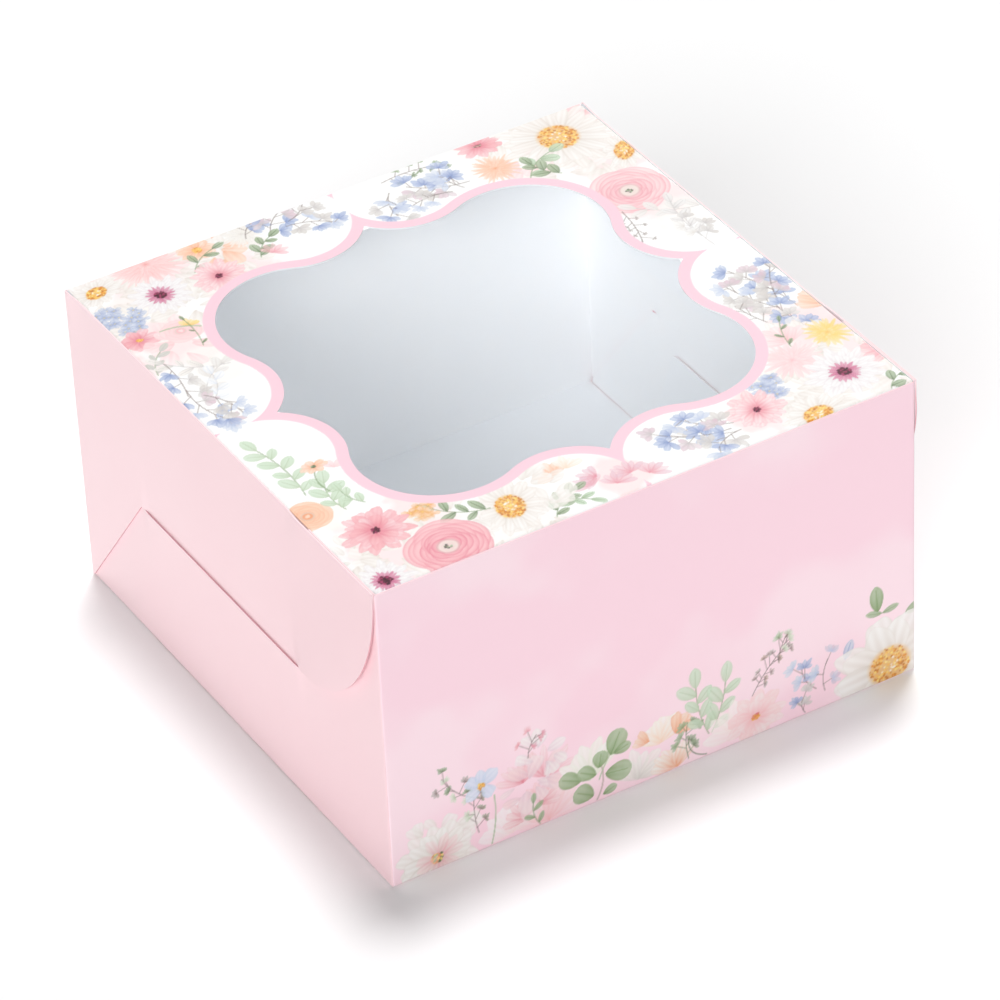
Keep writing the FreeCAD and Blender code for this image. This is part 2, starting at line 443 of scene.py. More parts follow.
# Pale and deep colours of small blossoms
SKY = (BLUE, INDIGO)
HAZE = (MIST, BLUE)
ASH = (GREY, SMOKE)
HEATHER = (MAUVE, SMOKE)


def heaps(paper, size, *spots):
    """White petals heaped round each spot."""
    for x, y in spots:
        petals(paper, x, y, size, PETAL, SHADE, 22)


def purple_daisy(paper, x, y, size, count, eye, inner, freckles, dots):
    """A white daisy with a smaller purple one in its middle, and dark dots on that."""
    daisy(paper, x, y, size, WHITE, DUSK, DARK_HEART, count, 3, eye)
    daisy(paper, x, y, inner, ORCHID, MAGENTA, DARK_HEART, 17, 2, 0.3)
    Brush(paper, x, y, 5).speckle(freckles, dots, 0.42, DARK_HEART)


# ---- the printed designs


def paint_lid(paper):
    """Flowers in all four corners, with sprigs between them. Measured from the front left corner."""
    for x, y, size, colour in (
        (28, 172, 24, BLUSH), (10, 150, 18, PETAL), (14, 136, 14, BLUSH), (46, 160, 16, BLUSH),
        (20, 122, 12, PETAL), (150, 168, 26, PETAL), (168, 150, 20, BLUSH), (166, 124, 16, BLUSH),
        (170, 108, 10, PETAL),
        (168, 24, 22, BLUSH), (150, 14, 20, PETAL), (170, 42, 12, BLUSH), (132, 12, 12, BLUSH),
        (20, 16, 24, BLUSH), (48, 10, 18, PETAL), (8, 40, 10, CREAM), (84, 8, 12, BLUSH),
    ):
        wash(paper, x, y, size, colour, 0.75)
    # back left corner
    heaps(paper, 9, (10, 150), (8, 166), (30, 168), (50, 171), (27, 150), (48, 163))
    hydrangea(paper, 5, 154, 7.5, MIST, INDIGO)
    chrysanthemum(paper, 26, 176, 13, BLUSH, rgb(238, 156, 152), 26, 7)
    petals(paper, 46, 172, 8, PEACH, APRICOT, 10)
    daisy(paper, 42, 174, 6, PEACH, APRICOT, GOLD_HEART, 9, 2, 0.25)
    branch(paper, (36, 164), (46, 172), 0.1, 3, 5, 2.6, SAGE, MOSS)
    golden_daisy(paper, 7, 171, 9, 3.4, 11, 0.75, 0.4)
    chrysanthemum(paper, 57, 174, 8, CREAM, GREY)
    daisy(paper, 41, 158.5, 9.5, BLUSH, ROSE, DARK_HEART, 12, 3, 0.12, 0.2)
    purple_daisy(paper, 22.1, 159.5, 10.5, 15, 0.17, 4.9, 1.7, 60)
    daisy(paper, 6, 142.5, 7, PINK, ROSE, GOLD_HEART, 8, 2, 0.14, 0.2, 0.8)
    petals(paper, 16, 135, 8, BLUSH, PINK, 16)
    ranunculus(paper, 18, 140, 6.5, BLUSH, PINK, [PINK, BLUSH], 5)
    fan(paper, 21, 141, 60, 100, 4, 4, 2.4, YELLOW, GOLD)
    stalk(paper, bend((13, 143), (24, 139), 0.1), 0.7, SAGE)
    branch(paper, (20, 130), (21.5, 144), -0.05, 2, 3, 1.4, SAGE, MOSS)
    # left edge, upper half
    branch(paper, (2, 124), (8, 134), 0.1, 5, 5, 2.6, rgb(204, 208, 196), SMOKE)
    branch(paper, (22, 118), (6, 128), 0.1, 6, 6, 2.6, CREAM, SMOKE, SMOKE)
    branch(paper, (9, 108), (20, 119), 0.1, 6, 6.5, 3.4, PEARL, GREY, SMOKE)
    branch(paper, (9, 104), (15, 116), -0.1, 5, 5, 3.2, WHITE, MIST, SMOKE)
    sprig(paper, (6, 128), (4, 110), 0.05, [SKY, ASH], 4, 3.4)
    sprig(paper, (5, 113), (9, 92), -0.1, [SKY, HEATHER, HAZE, SKY], 7, 3.8)
    sprig(paper, (8, 108), (13, 94), 0.1, [ASH, HAZE], 4, 3.4)
    fan(paper, 7.9, 94, -90, 110, 5, 4.6, 2, BLUE, INDIGO, alpha=0.85)
    # back edge
    sprig(paper, (57, 171), (63, 178), 0.1, [SKY, HAZE], 4, 3.6)
    sprig(paper, (64, 168), (72, 178), 0.1, [SKY, HEATHER, SKY], 6, 3.8)
    sprig(paper, (70, 170), (84, 163), 0.1, [ASH, HAZE, SKY])
    sprig(paper, (72, 172), (80, 178), -0.1, [ASH, HEATHER], 4, 3.4)
    branch(paper, (56, 160), (63, 168), 0.1, 5, 5, 3, SAGE, MOSS)
    fan(paper, 60, 160, 45, 150, 6, 5, 2.2, PINK, ROSE, alpha=0.6)
    sprig(paper, (105, 174), (126, 172), 0.08, [(SAGE, MOSS), (SAGE, GREEN)], 9, 1.6)
    sprig(paper, (104, 168), (100, 156), -0.1, [HAZE, SKY, ASH])
    sprig(paper, (127, 160), (110, 168), 0.1, [SKY, HEATHER, SKY, ASH], 7, 4)
    sprig(paper, (124, 158), (122, 170), 0.1, [SKY, HAZE], 5, 4)
    sprig(paper, (120, 158), (106, 158), -0.1, [ASH, HAZE], 5, 3)
    # back right corner
    heaps(paper, 10, (148, 175), (172, 160), (152, 146), (168, 172), (166, 150))
    petals(paper, 148, 162, 8, BLUSH, PINK, 16)
    daisy(paper, 139, 175, 8, PINK, ROSE, [ROSE, MAROON, SAGE], 10, 2, 0.16, 0.3, 0.8)
    chrysanthemum(paper, 137, 161.5, 8.5, PEACH, APRICOT, 22)
    ranunculus(paper, 175, 174, 8, BLUSH, PINK, [PINK, ROSE], 6)
    golden_daisy(paper, 161.5, 165.5, 19, 6.2, 17)
    branch(paper, (143, 151), (155, 160), 0.1, 3, 6, 4, MINT, GREEN)
    branch(paper, (152, 148), (147, 157), 0.1, 4, 5.5, 3.4, SAGE, MOSS)
    golden_daisy(paper, 174, 148, 11, 5, 11, 0.6, 1.0)
    ranunculus(paper, 163.5, 128.5, 13.2, rgb(251, 228, 227), rgb(226, 128, 145), BUTTON_HEART, 9, 0.5)
    # right edge
    branch(paper, (178, 110), (160, 119), 0.1, 6, 6, 3.4, PEARL, GREY, SMOKE)
    branch(paper, (168, 96), (170, 116), 0.05, 7, 6, 3.2, rgb(244, 242, 240), SMOKE, SMOKE)
    sprig(paper, (168.5, 90), (169, 108), 0.03, [ASH, (WHITE, GREY)], 5, 3.2, SMOKE)
    sprig(paper, (155.5, 120), (152, 103), 0.04, [(GREY, BARK), (GREY, BARK)], 9, 1.1)
    sprig(paper, (171, 50), (164, 76), -0.05, [SKY, ASH, HEATHER, SKY], 8, 4)
    sprig(paper, (166, 52), (159, 70), 0.05, [ASH, HEATHER, HAZE])
    sprig(paper, (168, 56), (176, 72), 0.05, [HEATHER, ASH, SKY], 6, 3.8)
    sprig(paper, (168, 38), (166, 54), 0.05, [SKY, SKY, ASH], 6, 4)
    sprig(paper, (160, 46), (156, 60), 0.05, [ASH, (WHITE, GREY)], 5, 3.4)
    fan(paper, 180, 46, 115, 80, 5, 11, 5, PEACH, APRICOT)
    # front right corner
    heaps(paper, 10, (170, 22), (150, 8), (174, 6), (146, 16), (160, 33))
    fan(paper, 159, 36, 95, 120, 7, 9, 4, BLUSH, PINK)
    branch(paper, (158, 34), (162, 46), 0.05, 3, 3.4, 1.6, SAGE, MOSS)
    chrysanthemum(paper, 170.5, 34, 8, YELLOW, GOLD, 18, 5)
    fan(paper, 180, 18, 150, 120, 6, 8, 4, PINK, ROSE, alpha=0.7)
    chrysanthemum(paper, 154.5, 28, 10.5, BLUSH, PINK, 22)
    hydrangea(paper, 142, 20.5, 5, MIST, INDIGO, 22)
    daisy(paper, 133, 13.5, 10, BLUSH, ROSE, DARK_HEART, 11, 3, 0.12, 0.25, 0.9, 0.8)
    purple_daisy(paper, 163.5, 15, 12.5, 15, 0.16, 5.3, 1.9, 70)
    golden_daisy(paper, 146, 2, 12, 4.6, 12, 0.75, 0.2)
    branch(paper, (170, 1), (178, 6), 0.1, 3, 5, 3, SAGE, MOSS)
    # front edge
    sprig(paper, (124, 12), (112, 22), 0.1, [ASH, SKY, HAZE], 6, 4)
    sprig(paper, (122, 10), (104, 18), 0.1, [HEATHER, SKY, SKY], 7, 4)
    sprig(paper, (124, 8), (114, 4), -0.1, [SKY, ASH, HAZE], 6, 4)
    for x, y, turn in ((76, 9, 110), (82, 6, 60), (88, 8, 100), (92, 5, 40), (79, 12, 150)):
        fan(paper, x, y, turn, 130, 6, 6, 2.6, MAUVE, ROSE, alpha=0.6, rim=0.25)
    branch(paper, (60, 2), (70, 10), 0.1, 6, 5.5, 2.8, SAGE, MOSS)
    branch(paper, (62, 8), (72, 4), 0.1, 4, 5, 2.4, MINT, GREEN)
    fan(paper, 70, 19, 110, 150, 6, 7, 3.6, PEACH, APRICOT, alpha=0.7)
    fan(paper, 74, 20, 60, 90, 4, 6, 3, CREAM, PEACH)
    # front left corner
    heaps(paper, 10, (58, 4), (42, 4), (34, 16), (14, 12), (5, 16), (60, 20))
    golden_daisy(paper, 52, 13.5, 13.5, 5.2, 13, 0.8, 1.2)
    branch(paper, (47, 16), (34, 24), 0.1, 5, 6, 3, SAGE, MOSS)
    hydrangea(paper, 31, 25, 3.6, PEACH, ORANGE, 12)
    daisy(paper, 15.8, 25, 11.5, PINK, ROSE, DARK_HEART, 12, 3, 0.12, 0.3, 0.92, 0.3)
    ranunculus(paper, 28.5, 7.5, 13.2, rgb(249, 208, 209), rgb(220, 98, 122), BUTTON_HEART, 9, 0.3)
    purple_daisy(paper, 6.5, 3.8, 9.5, 14, 0.2, 4.6, 1.9, 60)
    # left edge, lower half
    ranunculus(paper, 3.5, 41, 7.5, PEACH, APRICOT, [APRICOT, PEACH], 6)
    branch(paper, (8, 50), (7, 76), -0.06, 8, 6.5, 4, MINT, SAGE)
    branch(paper, (14, 38), (15, 52), 0.1, 6, 6.5, 4, MINT, SAGE)
    branch(paper, (20, 38), (17, 46), 0.1, 3, 5, 3, MINT, SAGE)
    stalk(paper, bend((14.5, 48), (16, 59), 0.12), 0.4, GREEN, 0.7)
    daisy(paper, 16.5, 60.5, 4.6, PEACH, APRICOT, [SAGE, MOSS], 7, 2, 0.16, 0.0, 0.7)
    fan(paper, 21, 57, 60, 120, 4, 4, 2, BLUSH, PINK, alpha=0.7)


def paint_wall(paper):
    """A loose row of flowers along the bottom of a pink wall. Measured from its bottom left corner."""
    # left end
    fan(paper, 40, 2, 100, 130, 6, 11, 6, WHITE, BLUSH, alpha=0.7)
    fan(paper, 52, 1, 90, 140, 7, 12, 6, BLUSH, PINK, alpha=0.6)
    petals(paper, 15, 7, 11, PETAL, SHADE, 22)
    golden_daisy(paper, 15, 4, 13.5, 1.6, 10, 0.95)
    for angle in spin(9, 0.3):
        brush = Brush(paper, 16, 4, 10)
        brush.petal(angle, 8, 4.6, BLUSH, ROSE, alpha=0.5, core=0.7, rim=0.2, soft=0.8)
    Brush(paper, 15.5, 4, 6).speckle(1.8, 26, 0.4, [SAGE, MOSS, YELLOW])
    sprig(paper, (29, 7), (28, 20), 0.04, [(SAGE, BARK), (CREAM, SAGE)], 7, 1.8)
    sprig(paper, (28, 20), (18, 31), 0.08, [(SAGE, MOSS), (CREAM, SAGE), (GREY, BARK)], 7, 2.0)
    stalk(paper, bend((33, 1), (34.5, 18), -0.05), 0.5, SAGE)
    pansy = Brush(paper, 30.5, 23, 9)
    for angle, length, width in ((2.5, 6, 5), (0.7, 6.6, 5.6), (3.7, 6, 5), (5.4, 5.8, 5.2), (1.6, 5.6, 4.4)):
        pansy.petal(angle, length, width, rgb(216, 226, 244), BLUE, core=0.35, veins=0.3, rim=0.5)
    pansy.speckle(1.1, 22, 0.4, [GOLD, YELLOW, ORANGE])
    for x, y, turn, size in ((44, 22, 105, 10), (51, 21, 75, 11), (45, 9, 120, 9), (49, 12, 60, 8)):
        fan(paper, x, y - 4, turn, 120, 6, size, 3.4, BLUSH, ROSE, alpha=0.62, core=0.7)
    petals(paper, 46, 17, 8, BLUSH, MAUVE, 12)
    petals(paper, 50, 25, 6, PETAL, MAUVE, 8)
    sprig(paper, (46, 26), (49, 33), 0.1, [(MAUVE, ROSE), (BLUSH, ROSE)], 5, 1.6)
    branch(paper, (49, 1), (47, 9), 0.1, 3, 4, 2, SAGE, GREEN)
    # eucalyptus and a cream flower
    fan(paper, 66, 9, 90, 90, 6, 14, 5.5, CREAM, rgb(224, 226, 206), alpha=0.85)
    fan(paper, 82, 2, 75, 130, 7, 11, 5, CREAM, GREY, alpha=0.75)
    stalk(paper, bend((68, 1), (70, 12), -0.1), 0.6, rgb(198, 176, 172))
    stalk(paper, bend((69, 8), (75, 18), 0.05), 0.5, SAGE)
    leaves = (
        (73, 15, 65, 9, 6.6), (63, 10, 155, 8, 5.6), (68, 10, 150, 7, 5), (69, 12, 80, 6, 5),
        (74, 15, 15, 6, 3.6), (71, 9, -10, 9, 6.6), (67, 3, 150, 7.5, 6.4), (70, 2, 20, 5, 3),
    )
    for x, y, angle, length, width in leaves:
        leaf(paper, x, y, angle, length, width, SAGE, LEAF_VEIN, point=0.25, core=0.55, alpha=0.94)
    # peach tulips
    fan(paper, 90, 12, 95, 110, 6, 9.5, 5.4, CREAM, PEACH)
    fan(paper, 95, 13, 50, 70, 4, 8, 4.6, PEACH, APRICOT, rim=0.6)
    fan(paper, 86, 14, 150, 50, 3, 6, 3.2, PEACH, APRICOT)
    fan(paper, 95, 1, 110, 110, 6, 9, 5, CREAM, APRICOT, alpha=0.8)
    sprig(paper, (99, 2), (99, 15), 0.06, [(SAGE, MOSS), (SAGE, GREEN)], 7, 2.2, MOSS)
    stalk(paper, bend((105, 1), (99, 9), 0.2), 0.4, MOSS, 0.7)
    # mint leaves and a pink flower with a golden heart
    branch(paper, (106, 8), (102, 26), 0.05, 6, 7.5, 4.4, MINT, SAGE)
    branch(paper, (107, 8), (112, 24), -0.05, 5, 7.5, 4.2, MINT, SAGE)
    fan(paper, 116, 4, 110, 120, 6, 12, 6, CREAM, BLUSH, alpha=0.7)
    daisy(paper, 122, 7, 11, BLUSH, PINK, [ORANGE, GOLD, ROSE], 9, 3, 0.13, 0.35, 0.85)
    # budded twig
    sprig(paper, (121, 15), (134, 29), 0.06, [(CREAM, BARK), (BLUSH, BARK), (PEACH, BARK)], 14, 1.5)
    sprig(paper, (130, 24), (133, 32), 0.05, [(CREAM, SAGE), (CREAM, GREEN)], 5, 2)
    # blue flowers and the big daisy
    sprig(paper, (143, 8), (138, 17), 0.1, [SKY, HAZE], 4, 3)
    sprig(paper, (146, 6), (147, 17), 0.1, [(MAUVE, BLUE), HAZE], 3, 3)
    sprig(paper, (139, 1), (138, 6), 0.1, [ASH, SKY], 3, 2.8)
    leaf(paper, 153, 14, 70, 7, 3.6, MIST, INDIGO)
    leaf(paper, 164.5, 26.5, 95, 9.5, 5, SAGE, LEAF_VEIN, core=0.6, alpha=0.95)
    for place in ((166, 25.5, 165, 6, 2.6), (166, 25.5, 10, 6, 2.6), (174, 22, 20, 7, 4)):
        leaf(paper, *place, SAGE, GREEN)
    golden_daisy(paper, 168.5, 5.5, 21, 7, 9, 0.92)


# ---- bent board


def window_distance(x, y):
    """How far a point of the lid is outside the window's edge, and the direction away from that edge."""
    swapped = np.abs(y) > np.abs(x)
    u = np.where(swapped, np.abs(y), np.abs(x))
    v = np.where(swapped, np.abs(x), np.abs(y))
    to_lobe = WINDOW_LOBE_CENTRE - WINDOW_CUSP_CENTRE
    lobe_radius = np.hypot(*to_lobe) - WINDOW_CUSP_RADIUS
    cusp_u, cusp_v = u - WINDOW_CUSP_CENTRE[0], v - WINDOW_CUSP_CENTRE[1]
    lobe_u, lobe_v = u - WINDOW_LOBE_CENTRE[0], v - WINDOW_LOBE_CENTRE[1]
    on_lobe = to_lobe[0] * cusp_v - to_lobe[1] * cusp_u < 0
    from_cusp, from_lobe = np.hypot(cusp_u, cusp_v), np.hypot(lobe_u, lobe_v)
    away = np.where(on_lobe, from_lobe - lobe_radius, WINDOW_CUSP_RADIUS - from_cusp)
    out_u = np.where(on_lobe, lobe_u / from_lobe, -cusp_u / from_cusp)
    out_v = np.where(on_lobe, lobe_v / from_lobe, -cusp_v / from_cusp)
    out_x = np.where(swapped, out_v, out_u) * np.sign(x)
    out_y = np.where(swapped, out_u, out_v) * np.sign(y)
    return away, out_x, out_y


def inside_outline(outline):
    """A function like window_distance, for a board inside a closed outline of points."""
    starts, ends = np.array(outline), np.roll(outline, -1, 0)

    def distance(x, y):
        best, nx, ny = np.full(x.shape, 1e9), np.zeros(x.shape), np.zeros(x.shape)
        odd = np.zeros(x.shape, bool)
        for (ax, ay), (bx, by) in zip(starts, ends):
            rx, ry = bx - ax, by - ay
            t = np.clip(((x - ax) * rx + (y - ay) * ry) / (rx * rx + ry * ry), 0, 1)
            dx, dy = x - ax - t * rx, y - ay - t * ry
            away = np.hypot(dx, dy)
            nearer = away < best
            best = np.where(nearer, away, best)
            nx, ny = np.where(nearer, dx, nx), np.where(nearer, dy, ny)
            crosses = (ay > y) != (by > y)
            odd ^= crosses & (x < rx * (y - ay) / (ry if ry else 1e-9) + ax)
        sign = np.where(odd, 1.0, -1.0) / np.maximum(best, 1e-9)
        return best * np.where(odd, 1.0, -1.0), nx * sign, ny * sign

    return distance


def everywhere(x, y):
    """A board with no cut edge inside its grid."""
    return np.full(x.shape, 99.0), np.ones(x.shape), np.zeros(x.shape)


def skin(xs, ys, distance):
    """Points and quads of a board's face, and its rim. Points beside a cut edge are moved onto it."""
    x, y = np.meshgrid(xs, ys)
    size = max(np.diff(xs).max(), np.diff(ys).max())
    away, nx, ny = distance(x, y)
    middle = (away[1:, 1:] + away[:-1, 1:] + away[1:, :-1] + away[:-1, :-1]) / 4
    keep = middle > 0
    number = np.arange(x.size).reshape(x.shape)
    quads = np.stack([number[:-1, :-1], number[:-1, 1:], number[1:, 1:], number[1:, :-1]], -1)[keep]
    sides = np.concatenate([quads[:, [k, (k + 1) % 4]] for k in range(4)])
    _, first, count = np.unique(np.sort(sides, 1), axis=0, return_index=True, return_counts=True)
    rim = sides[first[count == 1]]
    edge = np.zeros(x.size, bool)
    edge[rim.ravel()] = True
    edge = edge.reshape(x.shape) & (np.abs(away) < 1.5 * size)
    x, y = np.where(edge, x - away * nx, x), np.where(edge, y - away * ny, y)
    return x.ravel(), y.ravel(), quads, rim


def fill_mesh(mesh, points, quads, slots):
    """Give an empty mesh its faces. The last slot is the cut rim, the only one that isn't shaded smooth."""
    mesh.vertices.add(len(points))
    mesh.vertices.foreach_set("co", points.ravel())
    mesh.loops.add(quads.size)
    mesh.loops.foreach_set("vertex_index", quads.ravel().astype(np.int32))
    mesh.polygons.add(len(quads))
    mesh.polygons.foreach_set("loop_start", np.arange(0, quads.size, 4, dtype=np.int32))
    mesh.polygons.foreach_set("material_index", slots.astype(np.int32))
    mesh.polygons.foreach_set("use_smooth", slots < 2)


def make_board(
    name, body, nodes, face, inner_face, distance, place, material, rim_material, paper=None, flip=False
):
    """A panel of board: its printed face, its white inner face on a coarser grid, and its cut rim."""
    x, y, quads, rim = skin(*face, distance)
    inner_x, inner_y, inner_quads, _ = skin(*inner_face, distance)
    rim_points, numbers = np.unique(rim, return_inverse=True)
    first, second = numbers.reshape(rim.shape).T
    outer = place(x, y, 0.0)
    inner = place(inner_x, inner_y, BOARD)
    blocks = [outer, inner, outer[rim_points], place(x[rim_points], y[rim_points], BOARD)]
    _, inner_start, near, far, _ = np.cumsum([0] + [len(block) for block in blocks])
    walls = np.stack([second + near, first + near, first + far, second + far], 1)
    faces = np.concatenate([quads, inner_quads[:, ::-1] + inner_start, walls])
    if flip:
        faces = faces[:, ::-1]
    slots = np.repeat([0, 1, 2], [len(quads), len(inner_quads), len(walls)])
    points = np.concatenate(blocks) * MM
    used = np.zeros(len(points), bool)
    used[faces.ravel()] = True
    renumber = np.cumsum(used) - 1
    mesh = bpy.data.meshes.new(name)
    fill_mesh(mesh, points[used], renumber[faces], slots)
    if paper is not None:
        shade = np.ones((len(points), 4))
        shade[:, :3] = linear(WHITE) * BOARD_WHITE
        shade[: len(outer), :3] = linear(paper.colour.reshape(-1, 3)) * BOARD_WHITE
        ink = mesh.color_attributes.new("print", "FLOAT_COLOR", "POINT")
        ink.data.foreach_set("color", shade[used].ravel())
    mesh.update(calc_edges=True)
    mesh.validate()
    mesh.materials.append(material)
    mesh.materials.append(white_board)
    mesh.materials.append(rim_material)
    piece = bpy.data.objects.new(name, mesh)
    bpy.context.scene.collection.objects.link(piece)
    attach(piece, body)
    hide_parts(*nodes)
    return piece


def fold(gap, radius=CREASE, mitred=True):
    """Near a folded edge: how far in the face starts, and how far it drops below the flat."""
    start = np.maximum(gap, radius * (1 - math.sqrt(0.5)) + MITRE_GAP if mitred else 0.0)
    near = np.clip(radius - start, 0, radius)
    return start - gap, radius - np.sqrt(radius**2 - near**2)


def fine_then_coarse(low, change, high):
    """Grid values that are close together where flowers are painted, and further apart past that."""
    return np.concatenate([steps(low, change, FINE), steps(change, high, COARSE)[1:]])


def coarse_grid(xs, ys):
    """The same stretch as these grid values, with the coarse spacing."""
    return steps(xs[0], xs[-1], COARSE), steps(ys[0], ys[-1], COARSE)


def edged(low, high, size, folded_low=False, folded_high=False):
    """Grid values from low to high, with close rows beside a folded edge."""
    near = np.array([0, 0.3, 0.5]) * CREASE
    start = low + near if folded_low else low + near[:0]
    end = high - near[::-1] if folded_high else high - near[:0]
    middle = steps(low + CREASE * folded_low, high - CREASE * folded_high, size)
    return np.concatenate([start, middle, end])


# How the hooked side bows. s runs from the back of the side to the front, z up.
LOBE_CENTRE_S = DEPTH - SEAM - LOBE_RADIUS
LOBE_CENTRE_Z = TAIL_HEIGHT + LOBE_RADIUS
SLIP = 0.6  # along the middle of the tail's top edge, each flap leans this far past the other
HOOK_END = DEPTH - OVERLAP  # the tail's top edge is free as far as this from the back
CROSSING = 5  # and within this length from each end they swap places
OVERHANG = 1.2  # the rear flap reaches this far over the tail's rear edge
LIFT = 1.6  # the lobe springs this far off the side
SNUG = 0.53  # the rear flap's top leans in this far, towards the lid
PROUD = 0.4  # just past the hooked stretch the rear flap stands out this far
PRESSED = 0.4  # the front flap is pushed in this far under the lobe
DIP = 0.45  # and this far along the tail's rear edge


def hooked(s):
    """1 where the tail lies over the rear flap, 0 where it lies under."""
    return smooth((s - TAIL_RUN) / CROSSING) * smooth((HOOK_END - s) / CROSSING)


def round_corner(s, z):
    """Distance from the lobe's centre, and 0 to 1 to 0 along its arc."""
    u, w = np.maximum(s - LOBE_CENTRE_S, 0), np.maximum(LOBE_CENTRE_Z - z, 0)
    away = np.hypot(u, w)
    return away, 2 * u * w / np.maximum(away, 1e-6) ** 2


def rear_flap_bow(s, z):
    """Behind the tail's top edge in the middle, sprung out at the lobe, and close to the lid at the top."""
    above = np.maximum(z - TAIL_HEIGHT, 0)
    tucked = SLIP * hooked(s) * np.exp(-above / 9)
    away, along = round_corner(s, z)
    snug = SNUG * smooth((z - 80) / 20) * smooth(s / 10) * smooth((138 - s) / 10)
    proud = PROUD * smooth((s - HOOK_END) / 6) * smooth((HOOK_END + 25 - s) / 15)
    proud = proud * np.exp(-above / 6)
    return LIFT * along * smooth((away - 14) / 35) + proud - tucked - snug


def front_flap_bow(s, z):
    """Over the rear flap along the tail's top edge, and pressed in under the lobe and at the tail's rear."""
    below = np.exp(-np.abs(z - TAIL_HEIGHT) / np.where(z > TAIL_HEIGHT, 1.5, 10))
    away, along = round_corner(s, z)
    under = PRESSED * along * np.exp(-np.abs(away - LOBE_RADIUS) / 8)
    hump = np.sin(math.pi * np.clip(z / TAIL_HEIGHT, 0, 1)) ** 2
    tail = DIP * hump * np.exp(-np.abs(s - z * TAIL_RUN / TAIL_HEIGHT) / 7)
    return SLIP * hooked(s) * below - under - tail


def rear_flap_outline():
    """From the back crease round the lobe. The edge under the tail hangs lower where it is out of sight."""
    run = steps(TAIL_RUN, HOOK_END, 2)
    hidden = 0.2 + 1.3 * smooth((hooked(run) - 0.75) * 4)
    turn = np.linspace(-math.acos((HOOK_END - LOBE_CENTRE_S) / LOBE_RADIUS), 0, 25)
    arc = zip(LOBE_CENTRE_S + LOBE_RADIUS * np.cos(turn), LOBE_CENTRE_Z + LOBE_RADIUS * np.sin(turn))
    rear = [(0, FLAP_FOOT), (OVERHANG, FLAP_FOOT), (TAIL_RUN + 0.5 * OVERHANG, TAIL_HEIGHT - 0.2)]
    return [*rear, *zip(run[1:], TAIL_HEIGHT - hidden[1:]), *arc, (DEPTH - SEAM, HEIGHT), (0, HEIGHT)]


def front_flap_outline():
    """From the front crease back along the table, up the tail and forwards along its top edge."""
    top = TAIL_HEIGHT - SEAM
    tail = [(0, FLAP_FOOT), (DEPTH - 1, FLAP_FOOT), (DEPTH - 1, 1.1), (DEPTH - TAIL_RUN, top)]
    return [*tail, (OVERLAP, top), (OVERLAP - 8, HEIGHT), (0, HEIGHT)]


def make_sides():
    """The rear and front flaps on both sides."""
    for side, label in ((1, "right"), (-1, "left")):

        def place_rear(s, z, depth, side=side):
            shift, drop = fold(s)
            out = SIDE - drop + rear_flap_bow(s, z) - depth
            return np.stack([side * out, BACK - s - shift, z], 1)

        def place_front(d, z, depth, side=side):
            shift, drop = fold(d)
            out = SIDE - PITCH - drop + front_flap_bow(DEPTH - d, z) - depth
            return np.stack([side * out, FRONT + d + shift, z], 1)

        for name, place, outline, reach, flip in (
            ("rear_flap", place_rear, rear_flap_outline(), DEPTH - SEAM, side > 0),
            ("front_flap", place_front, front_flap_outline(), DEPTH - 1, side < 0),
        ):
            make_board(
                f"bent_{name}_{label}", f"{name}_{label}", [f"{name}_{label}"],
                (edged(0, reach, 1.0, True), steps(FLAP_FOOT, HEIGHT, 1.0)),
                (steps(0, reach, 2.0), steps(FLAP_FOOT, HEIGHT, 2.0)),
                inside_outline(outline), place, plain_pink, pink_edge_shade, flip=flip,
            )


def make_lid():
    """The printed lid with its window, rounded at its four folded edges."""
    xs = steps(SIDE - LID_SIDE, SIDE + LID_SIDE, FINE)
    ys = steps(PITCH, DEPTH, FINE)
    paper = Paper(xs, ys, WHITE)
    paint_lid(paper)
    away, _, _ = window_distance(paper.x - SIDE, paper.y - BACK)
    ragged = 0.12 * (cloud(paper.x, paper.y, 3, 5) - 0.5)
    band = smooth((BORDER - away + ragged) / FINE + 0.5)[..., None]
    paper.colour = paper.colour * (1 - band) + BORDER_PINK * band

    def distance(x, y):
        return window_distance(x - SIDE, y - BACK)

    def place(x, y, depth):
        x, y = x - SIDE, y - BACK
        _, side_drop = fold(LID_SIDE - np.abs(x), BOARD, False)
        _, front_drop = fold(y - LID_FRONT, BOARD, False)
        shift, back_drop = fold(BACK - y)
        drop = np.maximum(np.maximum(side_drop, front_drop), back_drop)
        return np.stack([x, y - shift, HEIGHT - drop * (depth == 0) - depth], 1)

    make_board(
        "printed_lid", "lid", ["lid_panel"], (xs, ys), coarse_grid(xs, ys),
        distance, place, print_ink, white_board, paper,
    )


def painted_wall(xs, ys):
    """The front wall's print: pink with lighter blotches, and flowers along the bottom."""
    paper = Paper(xs, ys, WALL_PINK)
    pale = smooth((blotches(paper.x, paper.y, 34, 11) - 0.42) * 3.5)[..., None]
    paper.colour += (WALL_LIGHT - paper.colour) * pale
    paint_wall(paper)
    return paper


